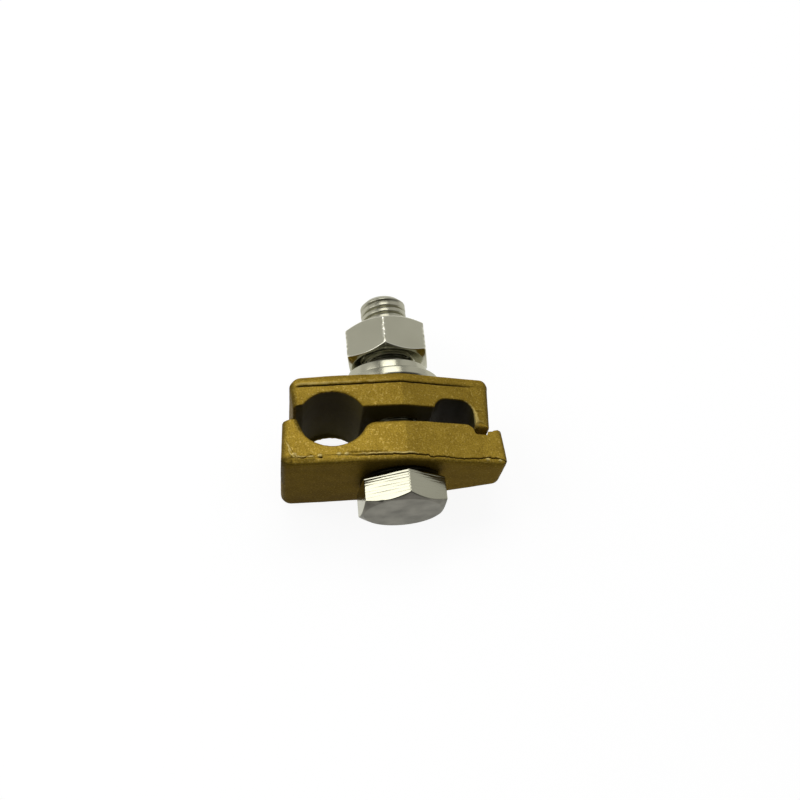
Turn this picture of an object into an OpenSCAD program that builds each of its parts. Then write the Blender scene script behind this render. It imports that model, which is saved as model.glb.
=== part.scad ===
// Parallel groove clamp, lying on its back: two forged jaws drawn together by one hex bolt.
// X runs along the jaws towards the small groove, Y along the bolt from head to nut,
// and Z up along the conductors. The back faces of the jaws lie on z = 0.

/* [Jaw outline] */
// Depth of both jaws along the conductors
jaw_depth = 23.3; // [22.4:0.1:30]
// Lower jaw, from the bolt axis to its left end at the parting line
lower_left = 24.55; // [23.5:0.05:30]
// Lower jaw, from the bolt axis to its right end at the parting line
lower_right = 22.2; // [21.8:0.05:24]
// Upper jaw, from the bolt axis to its left end at the parting line
upper_left = 21.95; // [21:0.05:26]
// Upper jaw, from the bolt axis to its right end at the parting line
upper_right = 19.85; // [19.3:0.05:20]
// Angle of each side of the tapered right half
taper_angle = 15.8; // [5:0.1:18]
// Where the taper starts, to the right of the bolt axis
taper_start = 0.75; // [0:0.05:4]
// Draft of the forged ends
end_draft = 4.5; // [2:0.1:5.5]
// Radius of the upright corners
corner_r = 2.2; // [1.7:0.1:2.5]

/* [Jaw thickness] */
// Lower jaw, outer face to inner face
lower_t = 8.65; // [7.6:0.05:9.6]
// Upper jaw, inner face to outer face
upper_t = 7.5; // [7:0.05:9]
// Opening between the inner faces as the clamp lies
jaw_gap = 3.25; // [2.4:0.05:5]
// Lower jaw, parting line above the outer face
lower_seam = 1.7; // [1.65:0.05:2.4]
// Lower jaw, radius of the edge round the outer face
lower_edge_r = 1.6; // [0.4:0.05:1.65]
// Upper jaw, parting line below the outer face
upper_seam = 2.25; // [1.7:0.05:3]
// Upper jaw, radius of the edge round the outer face
upper_edge_r = 1.6; // [0.4:0.05:1.65]

/* [Main groove] */
// Radius of the groove in both jaws
main_r = 7.35; // [6.6:0.05:7.8]
// Groove axis, to the left of the bolt axis
main_x = 13.9; // [13.6:0.05:14.6]
// Wall left under the groove in the lower jaw
main_floor = 3.65; // [2.6:0.05:4.2]
// Wall left over the groove in the upper jaw
main_roof = 3.85; // [3.2:0.05:4.6]
// Height of the lower left lip above the inner face
lower_lip_h = 1.2; // [0.6:0.05:1.7]
// Distance of the upper left lip short of the inner face
upper_lip_cut = 1; // [0.4:0.05:1.8]
// Radius of the lower groove edge beside the bolt
main_edge_r = 2.4; // [0.6:0.05:2.8]
// Radius of the lower lip edge
lip_edge_r = 0.8; // [0.3:0.05:1]

/* [Tap groove] */
// Depth of the small groove in the upper jaw
tap_depth = 2.15; // [1.6:0.05:2.8]
// Left edge of the small groove, from the bolt axis
tap_left = 7.35; // [6.6:0.05:8.2]
// Right wall of the small groove, from the bolt axis
tap_right = 15.95; // [15.9:0.05:16.4]
// Radius of the two corners in its roof
tap_corner_r = 2.95; // [2.6:0.05:3.4]
// Drop of the upper right lip below the inner face
lip_drop = 3.55; // [2.8:0.05:3.65]
// How far the lip's inner wall leans outwards
lip_lean = 0; // [0:0.05:0.8]
// Depth of the notch in the lower jaw that takes the lip
notch_depth = 2.1; // [2:0.05:2.6]
// Left wall of the notch, from the bolt axis
notch_left = 15.75; // [15.4:0.05:15.8]
// Radius of the shoulder beside the notch
shoulder_r = 2.1; // [1:0.05:2.1]
// Clearance between the lip and the hook as the jaws close
lip_clearance = 0.15; // [0.15:0.05:0.4]
// Height of the hook at the right end above the notch floor
hook_h = 1.25; // [0.8:0.05:1.3]
// Radius of the hook
hook_r = 1.3; // [1.3:0.05:2.4]

/* [Fasteners] */
// Nominal diameter of the bolt's thread
bolt_d = 10; // [9:0.1:10.6]
// Clearance of the bolt in the holes of the jaws and washers, on the diameter
hole_clearance = 1; // [0.8:0.05:1.4]
// Length of the bolt under its head
bolt_len = 42.1; // [38:0.1:60]
// Width across the flats of the head and the nut
flats_w = 17; // [16:0.1:18.5]
// Height of the bolt head with its round collar
head_h = 7.1; // [5.5:0.1:9]
// Height of the round collar under the head
collar_h = 1.2; // [0.3:0.05:1.6]
// Angle of the head about the bolt, from a corner facing up
head_angle = 4.5; // [-30:0.5:30]
// Chamfer of the bolt's free end
end_chamfer = 1; // [0.3:0.05:1.5]
// Height of the nut
nut_h = 8.2; // [6:0.1:10]
// Angle of the nut about the bolt, from a corner facing up
nut_angle = -8.75; // [-30:0.25:30]
// Depth of the countersink in each face of the nut
nut_countersink = 0.5; // [0.2:0.05:0.8]
// Radial gap that stands for the thread between nut and bolt
thread_gap = 0.1; // [0.05:0.05:0.2]

/* [Washers] */
// Outside diameter of the flat washer
washer_d = 21.2; // [19:0.1:22]
// Thickness of the flat washer
washer_t = 2.1; // [1.4:0.05:3]
// Outside diameter of the split washer
spring_d = 17.2; // [16.5:0.1:18.5]
// Thickness of the split washer's section
spring_t = 2.6; // [2:0.05:3.2]
// Rise of the split washer from its low end to its high end
spring_rise = 2.35; // [1.6:0.05:3]
// Width of the split
spring_split = 1; // [0.5:0.1:2]
// Clearance of the split washer round the bolt, on the diameter
spring_clearance = 0.8; // [0.4:0.05:1.2]
// Direction in which the loose split washer hangs against the bolt, from +X towards +Z
spring_hang_angle = 207; // [180:1:270]
// Gap left between faces that press on each other
seat_gap = 0.03; // [0.01:0.01:0.05]

/* [Hidden] */
$fn = 64;
corner_fn = 32;

forged_brass = [0.52, 0.42, 0.17];
bright_steel = [0.76, 0.76, 0.74];

// Levels along the bolt, from the lower jaw's outer face
upper_in = lower_t + jaw_gap;
upper_out = upper_in + upper_t;
washer_y = upper_out + seat_gap;
spring_y = washer_y + washer_t + seat_gap;
nut_y = spring_y + spring_t + spring_rise + seat_gap;
lower_lip_y = lower_t + lower_lip_h;
upper_lip_y = upper_in + upper_lip_cut;
lip_y = upper_in - lip_drop;
notch_y = lower_t - notch_depth;
hook_y = notch_y + hook_h;

// Groove axes
main_lower_y = main_floor + main_r;
main_upper_y = upper_out - main_roof - main_r;

// The part's own frame: centred over its box, standing on its back faces
half_depth = jaw_depth / 2;
middle_x = (lower_right - lower_left) / 2;
middle_y = (bolt_len - head_h) / 2 - seat_gap;

hole_r = (bolt_d + hole_clearance) / 2;
hex_r = flats_w / sqrt(3);
chamfer_r = 0.95 * flats_w / 2;
chamfer_angle = 30;
countersink_angle = 60;
collar_r = 0.985 * flats_w / 2;
washer_edge = washer_t / 8;

// Cuts run this far past the jaws
past = 60;
// Cuts run this far past the bolt head and the nut
clear = 1;
// Thickness of the discs that close a blank at its inner end
sliver = 0.1;
// The jaws' blanks run this far past their inner faces before they are cut to shape
trim = 1.5;
// A rounded groove edge runs this far into the groove
edge_overlap = 0.05;

// Points on an arc from angle a0 to a1
function arc(centre, r, a0, a1, steps) =
    [for (i = [0:steps]) let (a = a0 + (a1 - a0) * i / steps) centre + r * [cos(a), sin(a)]];

// Puts a piece drawn about the bolt axis into the part's frame
module in_frame() translate([-middle_x, -middle_y, half_depth]) children();

// Turns a piece drawn along Z to lie along the bolt, with its first corner facing up
module along_bolt(y, turn = 0) translate([0, y, 0]) rotate([-90, 0, 0]) rotate(turn - 90) children();

// Runs an outline drawn in X and Y right through the jaws
module through_jaw() translate([0, 0, -jaw_depth]) linear_extrude(2 * jaw_depth) children();

// Centres of the upright corners: rectangular left half, tapered right half
function jaw_corners(left, right) =
    let (inset = half_depth - corner_r,
         bend_x = taper_start - corner_r * tan(taper_angle / 2),
         end_x = right - corner_r,
         end_z = inset - (end_x - bend_x) * tan(taper_angle))
    [for (side = [-1, 1], p = [[corner_r - left, inset], [bend_x, inset], [end_x, end_z]]) [p.x, side * p.y]];

// A rounded post that shapes one corner between the parting line and the outer face
module corner_post(h, edge_r) rotate_extrude($fn = corner_fn)
    polygon(concat(
        [[0, 0], [corner_r, 0]],
        arc([corner_r - edge_r, h - edge_r], edge_r, 0, 90, 5),
        [[0, h]]));

// Forging blank: its outer face lies up along +Y and its ends draw in towards the inner face
module jaw_blank(left, right, seam_h, edge_r, reach) {
    draw_in = reach * tan(end_draft);
    hull() {
        for (c = jaw_corners(left, right))
            translate([c.x, 0, c.y]) rotate([-90, 0, 0]) corner_post(seam_h, edge_r);
        for (c = jaw_corners(left - draw_in, right - draw_in))
            translate([c.x, -reach, c.y]) rotate([-90, 0, 0])
                cylinder(r = corner_r, h = sliver, $fn = corner_fn);
    }
}

module bolt_hole() along_bolt(-past) cylinder(r = hole_r, h = 2 * past);

module groove_cut(y) translate([-main_x, y, 0]) cylinder(r = main_r, h = 2 * jaw_depth, center = true);

// Everything above the lower jaw: lip, groove mouth, inner face, shoulder, notch and hook
module lower_space() {
    groove_axis = [-main_x, main_lower_y];
    lip_wall_y = lower_lip_y - lip_edge_r;
    lip_wall_x = edge_overlap - main_x - sqrt(pow(main_r, 2) - pow(main_lower_y - lip_wall_y, 2));
    edge_y = lower_t - main_edge_r;
    edge_x = sqrt(pow(main_r + main_edge_r - edge_overlap, 2) - pow(main_lower_y - edge_y, 2)) - main_x;
    edge_start = atan2(main_lower_y - edge_y, -main_x - edge_x);
    hook_axis_y = hook_y - hook_r;
    hook_start = 180 - asin((notch_y - hook_axis_y) / hook_r);
    hook_x = upper_right - (upper_out - upper_seam - lip_y) * tan(end_draft) + lip_clearance
        - hook_r * cos(hook_start);
    polygon(concat(
        [[-past, past], [-past, lower_lip_y]],
        arc([lip_wall_x - lip_edge_r, lip_wall_y], lip_edge_r, 90, 0, 4),
        [groove_axis - [0, main_r / 2]],
        arc([edge_x, edge_y], main_edge_r, edge_start, 90, 6),
        arc([notch_left - shoulder_r, lower_t - shoulder_r], shoulder_r, 90, 0, 8),
        [[notch_left, notch_y]],
        arc([hook_x, hook_axis_y], hook_r, hook_start, 90, 6),
        [[past, hook_y], [past, past]]));
}

// Everything below the upper jaw: lip, groove mouth, inner face, small groove and right lip
module upper_space() {
    tap_y = upper_in + tap_depth - tap_corner_r;
    tap_start = 180 - asin((upper_in - tap_y) / tap_corner_r);
    tap_x = tap_left - tap_corner_r * cos(tap_start);
    mouth = main_r / 2;
    polygon(concat(
        [[-past, -past], [-past, upper_lip_y], [-main_x - mouth, upper_lip_y], [mouth - main_x, upper_in]],
        arc([tap_x, tap_y], tap_corner_r, tap_start, 90, 8),
        arc([tap_right - tap_corner_r, tap_y], tap_corner_r, 90, 0, 8),
        [[tap_right + lip_lean, lip_y], [past, lip_y], [past, -past]]));
}

module lower_jaw() color(forged_brass) in_frame() difference() {
    translate([0, lower_seam, 0]) mirror([0, 1, 0])
        jaw_blank(lower_left, lower_right, lower_seam, lower_edge_r, lower_lip_y + trim - lower_seam);
    through_jaw() lower_space();
    groove_cut(main_lower_y);
    bolt_hole();
}

module upper_jaw() color(forged_brass) in_frame() difference() {
    translate([0, upper_out - upper_seam, 0])
        jaw_blank(upper_left, upper_right, upper_seam, upper_edge_r, upper_out - upper_seam - lip_y + trim);
    through_jaw() upper_space();
    groove_cut(main_upper_y);
    bolt_hole();
}

// Hexagon whose corners are turned off at its far end, and at its near end too if both is set
module chamfered_hex(h, both) {
    rim_r = hex_r + clear;
    drop = (rim_r - chamfer_r) * tan(chamfer_angle);
    near = both ? [[chamfer_r, 0], [rim_r, drop]] : [[rim_r, 0]];
    intersection() {
        linear_extrude(h) circle(r = hex_r, $fn = 6);
        rotate_extrude() polygon(concat([[0, 0]], near, [[rim_r, h - drop], [chamfer_r, h], [0, h]]));
    }
}

// Fully threaded bolt, with its thread drawn at the major diameter
module bolt() color(bright_steel) in_frame() {
    shank_r = bolt_d / 2;
    tip_r = shank_r - end_chamfer;
    along_bolt(-seat_gap, head_angle) {
        rotate_extrude() polygon([[0, -collar_h], [collar_r, -collar_h], [collar_r, 0], [shank_r, 0],
            [shank_r, bolt_len - end_chamfer], [tip_r, bolt_len], [0, bolt_len]]);
        mirror([0, 0, 1]) translate([0, 0, collar_h]) chamfered_hex(head_h - collar_h, false);
    }
}

module nut() color(bright_steel) in_frame() along_bolt(nut_y, nut_angle) difference() {
    bore_r = bolt_d / 2 + thread_gap;
    mouth_r = bore_r + nut_countersink * tan(countersink_angle);
    chamfered_hex(nut_h, true);
    rotate_extrude() polygon([[0, -clear], [mouth_r, -clear], [mouth_r, 0], [bore_r, nut_countersink],
        [bore_r, nut_h - nut_countersink], [mouth_r, nut_h], [mouth_r, nut_h + clear], [0, nut_h + clear]]);
}

module flat_washer() color(bright_steel) in_frame() along_bolt(washer_y) rotate_extrude()
    polygon([[hole_r, 0], [washer_d / 2, 0], [washer_d / 2, washer_t - washer_edge],
        [washer_d / 2 - washer_edge, washer_t], [hole_r, washer_t]]);

// Height of the split washer's underside: a left-hand coil that rests on its low end and its upper side,
// with the angle counted from the split
function spring_lift(a) = spring_rise * (a / 360 + sin(a) / (2 * PI) + (cos(a) - 1) / 4);

module spring_washer() color(bright_steel) in_frame() {
    steps = 72;
    inner_r = (bolt_d + spring_clearance) / 2;
    outer_r = spring_d / 2;
    half_split = asin(spring_split / 2 / outer_r);
    hang = (spring_clearance / 2 - 2 * seat_gap) * [cos(spring_hang_angle), sin(spring_hang_angle)];
    section = [[inner_r, 0], [outer_r, 0], [outer_r, spring_t], [inner_r, spring_t]];
    sides = len(section);
    points = [for (i = [0:steps], q = section)
        let (a = half_split + (360 - 2 * half_split) * i / steps)
        [hang.x + q.x * sin(a), spring_y + q.y + spring_lift(a), hang.y - q.x * cos(a)]];
    walls = [for (i = [0:steps - 1], k = [0:sides - 1])
        let (a = i * sides + k, b = i * sides + (k + 1) % sides) [a, b, b + sides, a + sides]];
    first = [for (k = [sides - 1:-1:0]) k];
    last = [for (k = [0:sides - 1]) steps * sides + k];
    polyhedron(points, concat(walls, [first, last]), convexity = 4);
}

lower_jaw();
upper_jaw();
bolt();
nut();
spring_washer();
flat_washer();
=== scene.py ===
"""Looks of a parallel groove clamp: two forged brass jaws, a bright steel bolt, its nut and two washers.

Shapes are worked out in millimetres in the part's own frame and turned into metres when a mesh is made.
In the jaws, x runs to the right from the bolt axis.
"""

import math

import bmesh
import bpy
import numpy as np
from mathutils import Matrix, Vector, noise


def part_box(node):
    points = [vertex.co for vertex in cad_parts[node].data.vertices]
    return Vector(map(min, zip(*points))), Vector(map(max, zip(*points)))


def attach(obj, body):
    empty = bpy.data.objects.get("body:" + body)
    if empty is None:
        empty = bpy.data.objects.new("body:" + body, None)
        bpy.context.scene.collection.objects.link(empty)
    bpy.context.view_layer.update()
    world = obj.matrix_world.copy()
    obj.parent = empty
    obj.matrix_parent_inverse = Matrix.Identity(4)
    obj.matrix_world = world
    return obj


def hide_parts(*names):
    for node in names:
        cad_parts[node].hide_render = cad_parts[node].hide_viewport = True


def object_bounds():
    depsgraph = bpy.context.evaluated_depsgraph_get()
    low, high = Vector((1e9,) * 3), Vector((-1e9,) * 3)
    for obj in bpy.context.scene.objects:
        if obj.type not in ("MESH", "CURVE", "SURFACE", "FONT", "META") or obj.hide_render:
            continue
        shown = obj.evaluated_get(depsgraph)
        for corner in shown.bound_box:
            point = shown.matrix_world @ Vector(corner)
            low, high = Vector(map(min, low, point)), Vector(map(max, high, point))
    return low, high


MM = 0.001
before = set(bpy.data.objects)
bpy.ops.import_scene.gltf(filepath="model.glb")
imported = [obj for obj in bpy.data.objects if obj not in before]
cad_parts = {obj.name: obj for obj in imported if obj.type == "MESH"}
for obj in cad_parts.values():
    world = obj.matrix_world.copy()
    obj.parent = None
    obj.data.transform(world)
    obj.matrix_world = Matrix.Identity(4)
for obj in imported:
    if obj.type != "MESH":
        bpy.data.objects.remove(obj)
cad_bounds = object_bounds()


def node_box(node):
    """Lowest and highest corner of a CAD node, in millimetres."""
    low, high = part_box(node)
    return np.array(low) / MM, np.array(high) / MM


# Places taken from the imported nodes
LOWER = node_box("lower_jaw")
UPPER = node_box("upper_jaw")
BOLT = node_box("bolt")
NUT = node_box("nut")
FLAT = node_box("flat_washer")
SPRING = node_box("spring_washer")
AXIS_X = (BOLT[0][0] + BOLT[1][0]) / 2
AXIS_Z = (BOLT[0][2] + BOLT[1][2]) / 2
BACK_Z = LOWER[0][2]
FRONT_Z = LOWER[1][2]
LOWER_OUT = LOWER[0][1]
UPPER_OUT = UPPER[1][1]
LIP_TIP = UPPER[0][1]
# Direction from the head to the nut
UP = np.array((0, 1, 0))

# Thread: outer radius, depth, place of the crests along the bolt in pitches, half width of a crest and
# width of a flank as shares of half a pitch, and crown of a crest as a share of the depth
PITCH = 1.5
THREAD_R = 4.99
THREAD_DEPTH = 0.64
THREAD_PHASE = 0.34
CREST_HALF = 0.56
FLANK = 0.38
CROWN = 0.03
# Distances from the tip over which the thread fades in, and play of the nut's thread
FADE_IN = (0.8, 2.4)
NUT_PLAY = 0.06

# Hexagons: width across the flats, chamfer at their ends, columns on one side, how much these crowd
# towards the corners, and sharpness of the edges
FLATS = 17.0
CHAMFER_R = 0.95 * FLATS / 2
CHAMFER_SLOPE = math.tan(math.radians(30))
SIDE_COLUMNS = 32
CORNER_CROWD = 0.8
HEX_POWER = 135
# Distance from the end at which the chamfer has left the flats
CHAMFER_END = 1.3

# Bolt: head, collar under it with the painted shade on it, turn, chamfer of the tip, and stain of the thread
HEAD_H = 7.1
COLLAR_H = 1.2
COLLAR_R = 0.985 * FLATS / 2
COLLAR_SHADE = 0.8
HEAD_TURN = math.radians(4.5)
TIP_CHAMFER = 1.0
THREAD_STAIN = 0.08
# Tool marks across the flats of the head: distance from the end face, depth
HEAD_MARKS = ((1.6, 0.007), (2.3, 0.012), (2.9, 0.007), (3.5, 0.01), (4.3, 0.012), (4.85, 0.016), (5.4, 0.04))
MARK_W = 0.12
# Chip in the head's lower edge: angle about the bolt, distance from the end face, half width, half height and
# depth, then painted shade along the border of the chamfer
CHIP_ANGLE = math.radians(-36)
CHIP_E = 0.32
CHIP_W = math.radians(2.4)
CHIP_H = 0.16
CHIP_DEPTH = 0.1
BORDER_SHADE = 0.8

# Nut: turn, countersink, half width of a worn corner, depth and length of its dents, painted highlight along
# the chamfer's border, and painted shade on the lower chamfer
NUT_TURN = math.radians(-8.75)
COUNTERSINK = 0.5
COUNTERSINK_SLOPE = math.tan(math.radians(60))
CORNER_W = math.radians(1.6)
DENT_DEPTH = 0.07
DENT_LENGTH = 0.55
BORDER_HIGHLIGHT = 0.9
NUT_UNDER_SHADE = 0.35

# Flat washer: bore, rounding of its edges, levels of the rings on its rim, and strength and upper end of the
# painted shadow line along the foot of that
HOLE_R = 5.5
FLAT_EDGE_R = 0.3
RIM_LEVELS = (0.45, 0.6, 0.75)
FOOT_SHADE = 0.85
FOOT_SHADE_TOP = 0.5

# Split washer: a loose left-hand coil
SPRING_T = 2.6
SPRING_RISE = 2.35
SPRING_R = 8.6
SPRING_BORE_R = 5.4
SPRING_SPLIT = 1.0
SPRING_EDGE_R = 0.28

# Jaws: size of the voxels that they are remeshed with, rounds and shares of the smoothing after that, tapered
# right half, rounding of the outer edges in the frame, and the power of the squarer edge that replaces it
VOXEL = 0.225
SMOOTH_ROUNDS = 10
SMOOTH_SHARES = (0.5, -0.53)
TAPER_START = 0.75
TAPER = math.tan(math.radians(15.8))
OUTER_EDGE_R = 1.6
EDGE_POWER = 4
# Main groove: radius, place of its axis, wall over it in the upper jaw, wall under it in the lower jaw, and
# rounding of its right edge there
MAIN_R = 7.35
MAIN_X = 13.9
MAIN_ROOF = 3.85
MAIN_FLOOR = 3.65
MAIN_EDGE_R = 2.4
# Small groove of the upper jaw: right wall, depth, rounding of its corners, and drop of the lip beside it
TAP_RIGHT = 15.95
TAP_DEPTH = 2.15
TAP_CORNER_R = 2.95
LIP_DROP = 3.55
# Right end of that lip and rounding of its corners
LIP_RIGHT = 19.25
CORNER_R = 2.2
# Lower jaw: outer face to inner face, and height of the left lip above that
LOWER_T = 8.65
LEFT_LIP_H = 1.2
# Lower jaw's notch: floor above the outer face, height of the metal left on it beyond the lip at some x,
# clearance from the lip over which that rises, and height from which the jaw is raised for it
NOTCH_FLOOR = 6.55
NOTCH_FILL = ((18, 0.75), (18.9, 0.75), (19.3, 1.0), (20.5, 1.05))
FILL_CLEAR = (0.29, 0.4)
FILL_FROM = 4.5

# Scale of the noise along x, y and z that makes the parting lines ragged
RAGGED_SCALE = (1, 0, 0.35)
# Parting line of the lower jaw: x, height above the outer face
LOWER_SEAM = ((-25, 1.5), (-20, 1.55), (-14, 1.6), (-9, 1.36), (-2, 1.3), (0, 1.1), (1.5, 1.28),
              (4.1, 1.05), (4.9, 1.2), (5.4, 0.8), (7.3, 1.02), (9.4, 0.94), (11.5, 0.76),
              (16, 1.0), (18.2, 1.36), (19.5, 1.3), (22, 0.9))
# Flash folded over the lower jaw's front left corner: its edge, its outer rim, the gaps under it and the drops
# of metal on the parting line, in the same terms, then its thickness and right end
FLASH_EDGE = ((-23.15, 5.2), (-22.8, 4.1), (-22.45, 3.3), (-22.15, 2.55), (-21.95, 2.3), (-21.4, 1.88),
              (-20.7, 1.7), (-19.8, 1.64), (-19.2, 1.72), (-18.4, 1.66))
FLASH_RIM = ((-22.9, 3.3), (-22.65, 2.2), (-22.1, 1.65), (-21.4, 1.5))
FLASH_GAP = ((-21.7, 1.62), (-21.3, 1.4), (-20.9, 1.36), (-20.2, 1.24), (-19.9, 1.33), (-19.6, 1.5),
             (-19.1, 1.86), (-18.6, 1.9))
DROP_GAP = ((-17.3, 1.28), (-16.5, 1.23))
FLASH_DROPS = ((-21.85, 2.2), (-16.9, 1.72), (-13.1, 1.85), (-11.6, 1.8), (17.6, 1.0), (20.4, 0.95))
FLASH_H = 0.2
FLASH_END = -17.9
# Depth of the lower jaw's cracks, and height of its ridge, of the flash's rim and of the drops
LOWER_CRACK_DEPTH = 0.22
RIDGE_H = 0.22
RIM_H = 0.18
DROP_H = 0.22
# Along x: rounding of the lower jaw's worn rim, and strength of its crack, its ridge and the line above that
LOWER_WEAR = ((-21.2, 0.9), (-19.5, 0.6), (-16.5, 0.25), (-11.5, 0.25), (-9, 0.7), (-7, 0.95),
              (-4, 0.8), (2, 0.75), (5, 0.25), (13, 0.15), (13.9, 0.01))
LOWER_CRACK = ((-15, 0), (-9, 0.6), (-5, 1), (22, 1))
LOWER_RIDGE = ((-15, 0.1), (-13, 0.6), (-11, 0.7), (-3, 0.8), (0.8, 1), (3, 0.3), (6, 0.15), (22, 0.1))
OVER_RIDGE = ((-13, 0), (-11, 1), (-5, 1), (-3, 0))
# Swelling of the left lip into the groove: height above the outer face, thickness
LIP_BULGE = ((6.2, 0), (7.3, 0.3), (8.4, 0.38), (9.9, 0.3))

# Parting line of the upper jaw: x, depth below the outer face
UPPER_SEAM = ((-23, 2.6), (-19, 2.4), (-10, 2.37), (-4, 2.22), (0, 2.18), (8, 2.22), (20, 2.16))
# Along x: rounding of the upper jaw's inner edge and of its lip's tip, strength of its crack, of the painted
# highlight on the band above that and of the metal that hangs from the groove's roof at the back
INNER_WEAR = ((-7, 0.01), (-6, 0.3), (6.4, 0.3), (7.2, 0.01))
TIP_WEAR = ((TAP_RIGHT - 0.5, 0.01), (TAP_RIGHT, 2.0), (TAP_RIGHT + 1.3, 1.4), (TAP_RIGHT + 3, 0.4))
UPPER_CRACK = ((-21.2, 0), (-20, 1), (8, 1), (15.5, 0.6), (17, 0))
BAND_HIGHLIGHT = ((-21.4, 0), (-20.4, 1), (-10, 1), (-6, 0.8), (2, 0.5), (20, 0.3))
ROOF_HANG = ((-20.5, 0), (-18, 1), (-14, 0.9), (-9, 0))
# Rounding of the lip's edge by depth below the roof of the small groove
LIP_WEAR = ((0, 0.25), (1, 0.35), (2, 0.5), (3.2, 0.85), (4.5, 1.2))
# Depth of the upper jaw's crack, swelling of its band, droop of its left end, drop of the burrs and of the
# hanging metal
UPPER_CRACK_DEPTH = 0.24
BAND_H = 0.12
LEFT_DROOP = 0.3
BURR_H = 0.22
HANG_H = 0.65

# Painted light and shade of the jaws: level of each jaw (the upper one painted darker), painted shade on what
# is turned from the front, share of it that the ends are spared, painted shade in the narrow parts between them
# along x, and painted light on the main groove's roof along z
LOWER_PAINTED_LIGHT = 0.95
UPPER_PAINTED_LIGHT = 0.8
TURNED_PAINTED_SHADE = 0.58
ENDS_SPARED = 0.25
NARROW_PAINTED_SHADE = ((-7.5, 0), (-6, 0.2), (6.8, 0.2), (8, 0.6))
ROOF_PAINTED_LIGHT = ((-9, 0.45), (2, 0), (11, -0.1))
# Shine of the jaws, and what it loses where they are turned from the front, deep inside and at the ends
SHINE = 0.5
TURNED_LOSS = 0.15
DEEP_LOSS = 0.92
ENDS_LOSS = 0.85

# Colours of the brass: its patches and pits, painted glints, its deep parts (partly oxide, partly painted
# shade), its rubbed parts with painted highlights, and painted shade in its cracks
BRASS_DARK = (0.405, 0.265, 0.034)
BRASS_LIGHT = (0.485, 0.323, 0.043)
BRASS_PIT = (0.2, 0.125, 0.0155)
BRASS_GLINT = (0.9, 0.66, 0.18)
BRASS_DEEP = (0.095, 0.085, 0.03)
BRASS_RUB_HIGHLIGHT = (1.0, 0.81, 0.3)
BRASS_CRACK_SHADE = (0.02, 0.013, 0.003)
BRASS_SHEEN = (0.7, 0.55, 0.2, 1)
BRASS_SPECULAR = 0.009
# Colours of the steel: its clouds and stains, the painted highlight on its edges, and painted shade
STEEL_DARK = (0.41, 0.4, 0.305)
STEEL_LIGHT = (0.44, 0.43, 0.33)
STAIN_DARK = (0.085, 0.08, 0.066)
STAIN_LIGHT = (0.185, 0.176, 0.148)
STEEL_HIGHLIGHT = (0.85, 0.83, 0.7)
STEEL_SHADE = (0.02, 0.02, 0.016)
STEEL_SHEEN = (0.9, 0.9, 0.85, 1)

# Floor: half its width, its own grey, and how strongly it shows white
FLOOR_HALF = 3000
FLOOR_GREY = (0.16, 0.16, 0.16, 1)
FLOOR_WHITE = 0.91
# Levels of the world along +Y, from the head's side to the nut's, and along +X, with dark flanks beside the
# overhead lamp: part of a direction along that axis, level
WORLD_Y = ((-0.8, 0.07), (0.36, 0.75))
WORLD_X = ((-1, 1.0), (-0.66, 1.0), (-0.52, 0.4), (-0.3, 0.45), (0.2, 0.35), (0.36, 0.4), (0.52, 1.0),
           (0.8, 1.0), (1, 0.8))
# Lamps: direction from the object, size in metres, power in watts, and the distance of both
LAMPS = (("overhead", (-0.02, 0.45, 0.89), (0.31, 0.18), 0.5),
         ("left", (-0.72, 0.15, 0.68), (0.22, 0.34), 0.52))
LAMP_DISTANCE = 0.5
# Camera that was fitted to the photo: its place from the bolt axis and the lower jaw's outer face, its right,
# up and back directions, and its lens
CAMERA_OFFSET = (-27.975, -76.546, 204.175)
CAMERA_RIGHT = (0.99045, -0.09431, 0.10056)
CAMERA_UP = (0.04275, 0.90358, 0.42628)
CAMERA_BACK = (-0.13106, -0.41791, 0.89898)
LENS = 47.42
SENSOR = 36


def link(obj):
    bpy.context.scene.collection.objects.link(obj)
    return obj


def make_mesh(name, points, faces):
    """A smooth shaded object from points in millimetres, with its faces turned outwards."""
    mesh = bpy.data.meshes.new(name)
    mesh.from_pydata([tuple(p) for p in np.asarray(points) * MM], [], faces)
    bm = bmesh.new()
    bm.from_mesh(mesh)
    bmesh.ops.recalc_face_normals(bm, faces=bm.faces)
    bm.to_mesh(mesh)
    bm.free()
    mesh.shade_smooth()
    return link(bpy.data.objects.new(name, mesh))


def skin(name, rings, loop=False):
    """A closed skin over a stack of rings.

    A loop joins the last ring to the first, or else both ends are capped.
    """
    count = len(rings[0])
    faces = []
    for i in range(len(rings) if loop else len(rings) - 1):
        a = i * count
        b = (i + 1) % len(rings) * count
        faces += [(a + j, a + (j + 1) % count, b + (j + 1) % count, b + j) for j in range(count)]
    if not loop:
        faces += [tuple(range(count)), tuple(range((len(rings) - 1) * count, len(rings) * count))]
    return make_mesh(name, np.concatenate(rings), faces)


def set_attribute(obj, name, values):
    attribute = obj.data.attributes.new(name, "FLOAT", "POINT")
    attribute.data.foreach_set("value", np.asarray(values, np.float32))


def read_points(mesh, what="co"):
    data = np.empty(len(mesh.vertices) * 3)
    mesh.vertices.foreach_get(what, data)
    return data.reshape(-1, 3)


def write_points(mesh, points):
    mesh.vertices.foreach_set("co", (np.asarray(points) * MM).ravel())
    mesh.update()


def step(value, low, high):
    """Smooth step from 0 at low to 1 at high."""
    t = np.clip((value - low) / (high - low), 0, 1)
    return t * t * (3 - 2 * t)


def bell(distance, width):
    return np.exp(-(distance / width) ** 2)


def along(x, stops):
    """Value at x on straight stretches between stops of place and value."""
    return np.interp(x, *zip(*stops))


def rough(points, size, seed):
    """Smooth noise from -1 to 1 with lumps of about the given size in millimetres."""
    shift = Vector((seed * 17.3, seed * 7.9, seed * 3.1))
    return np.array([noise.noise(Vector(p) / size + shift) for p in points])


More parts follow.
